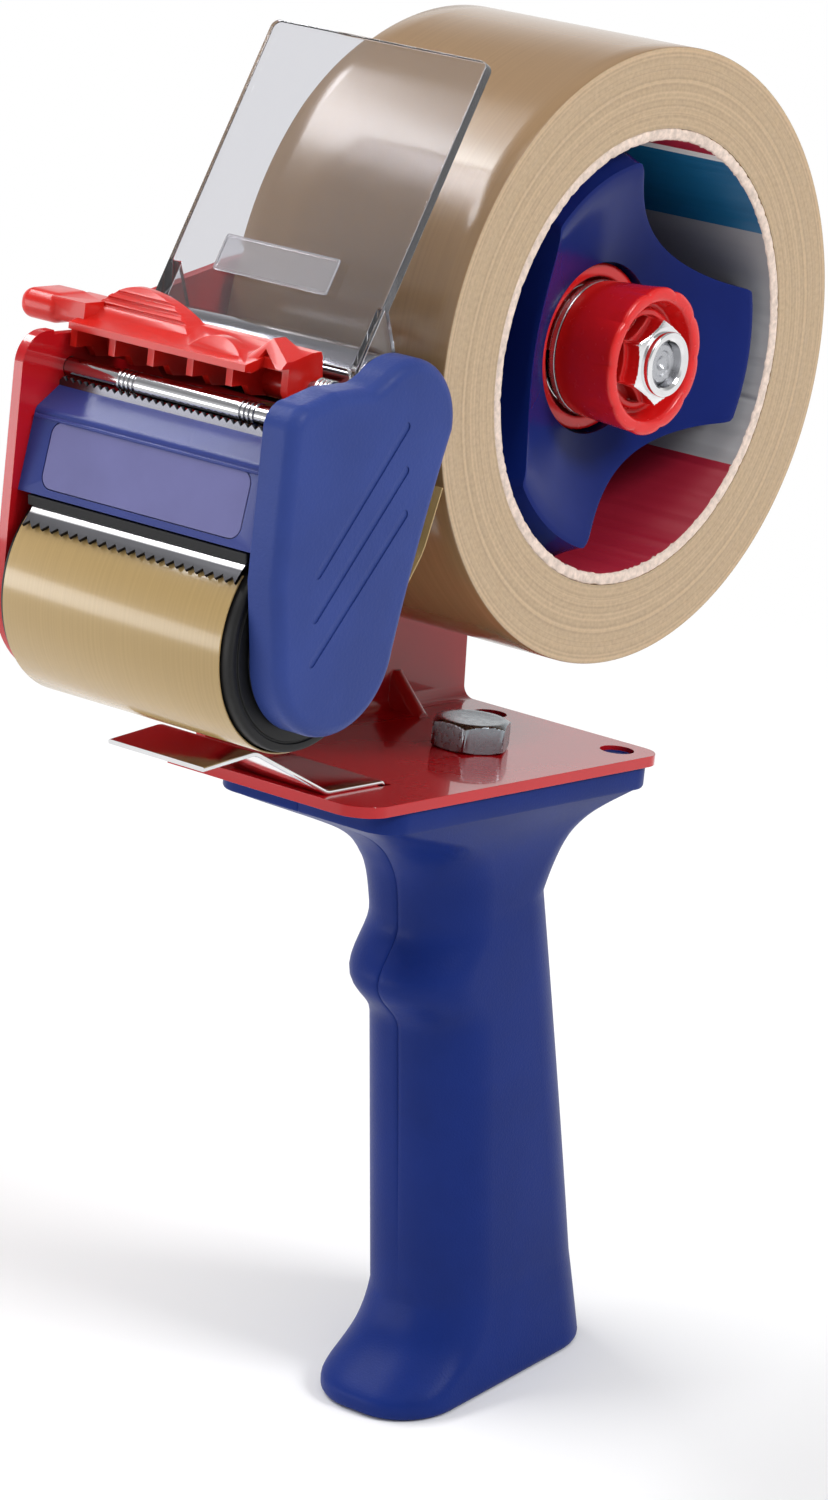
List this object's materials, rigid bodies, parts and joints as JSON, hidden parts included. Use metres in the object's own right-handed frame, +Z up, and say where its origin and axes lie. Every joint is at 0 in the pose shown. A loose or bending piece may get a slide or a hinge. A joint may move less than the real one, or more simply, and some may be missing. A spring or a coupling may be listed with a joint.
{
  "type": "tape dispenser",
  "caption": "Pistol-grip carton tape dispenser with a tape roll on a braked hub, rubber applicator roller, toothed blade, clear flap and thumb lever.",
  "frame": {"origin": "on the handle's flat foot, 1 mm behind its middle", "axes": "+X towards the applicator roller and blade, +Y towards the open side where a roll is loaded, +Z up along the handle"},
  "size_m": [0.1649, 0.0723, 0.2528],
  "materials": {
    "frame_red": "high gloss red enamel",
    "grip_blue": "fine-textured blue plastic",
    "body_blue": "satin blue plastic",
    "knob_red": "glossy red plastic",
    "lever_red": "glossy orange-red plastic",
    "bright": "bright plated steel",
    "zinc": "zinc-plated steel",
    "rubber": "black rubber",
    "black": "black plastic",
    "grey": "grey plastic",
    "clear": "clear plastic",
    "tape": "tan packing film",
    "board": "wound cardboard",
    "panel": "satin lavender film"
  },
  "bodies": {
    "frame": {"steel_frame": "frame_red", "handle": "grip_blue", "handle_bolt": "zinc", "handle_nut": "zinc", "spring_clip": "bright", "tape_run": "tape", "spindle_bolt": "zinc", "spindle_nut": "zinc", "brake_cup": "knob_red", "brake_spring": "bright", "roller_axle": "zinc", "guide_pin": "zinc", "lever_pin": "zinc", "lever_spring": "bright", "lever_rod": "bright", "toothed_strip": "bright", "front_guard": "body_blue", "guard_panel": "panel", "guard_screws": "zinc", "tear_blade": "bright", "blade_holder": "black", "side_cover": "body_blue"},
    "roll": {"hub": "body_blue", "hub_bearing": "black", "hub_flange": "body_blue", "paper_core": "board", "tape_roll": "tape"},
    "brake_slider": {"brake_washer": "zinc"},
    "brake_grip": {"brake_knob": "knob_red", "brake_nut": "zinc"},
    "applicator": {"roller_tyre": "rubber", "roller_core": "grey", "roller_bushes": "black"},
    "guide": {"guide_roller": "bright"},
    "flap": {"clear_flap": "clear"},
    "lever": {"press_lever": "lever_red"}
  },
  "joints": [
    {"name": "roll_spin", "type": "hinge", "parent": "frame", "child": "roll", "pos_m": [-0.021, 0, 0.192], "axis": [0, 1, 0], "continuous": true},
    {"name": "brake_travel", "type": "slide", "parent": "frame", "child": "brake_slider", "axis": [0, 1, 0], "range_m": [-0.00063, 0.00063], "deforming": ["brake_spring"]},
    {"name": "knob_turn", "type": "hinge", "parent": "brake_slider", "child": "brake_grip", "pos_m": [-0.021, 0, 0.192], "axis": [0, 1, 0], "range_deg": [-180, 180]},
    {"name": "applicator_spin", "type": "hinge", "parent": "frame", "child": "applicator", "pos_m": [0.07016, 0, 0.16543], "axis": [0, 1, 0], "continuous": true},
    {"name": "guide_spin", "type": "hinge", "parent": "frame", "child": "guide", "pos_m": [0.04831, 0, 0.20195], "axis": [0, 1, 0], "continuous": true},
    {"name": "flap_hinge", "type": "hinge", "parent": "frame", "child": "flap", "pos_m": [0.04831, 0, 0.20195], "axis": [0, 1, 0], "range_deg": [-17, 16]},
    {"name": "lever_press", "type": "hinge", "parent": "frame", "child": "lever", "pos_m": [0.06003, 0, 0.2046], "axis": [0, 1, 0], "range_deg": [0, 6], "stiffness_Nm_per_rad": 0.08, "springref_deg": -5.73}
  ],
  "couplings": [
    {"joint": "knob_turn", "follows": "brake_travel", "rad_per_m": 5026.5}
  ]
}
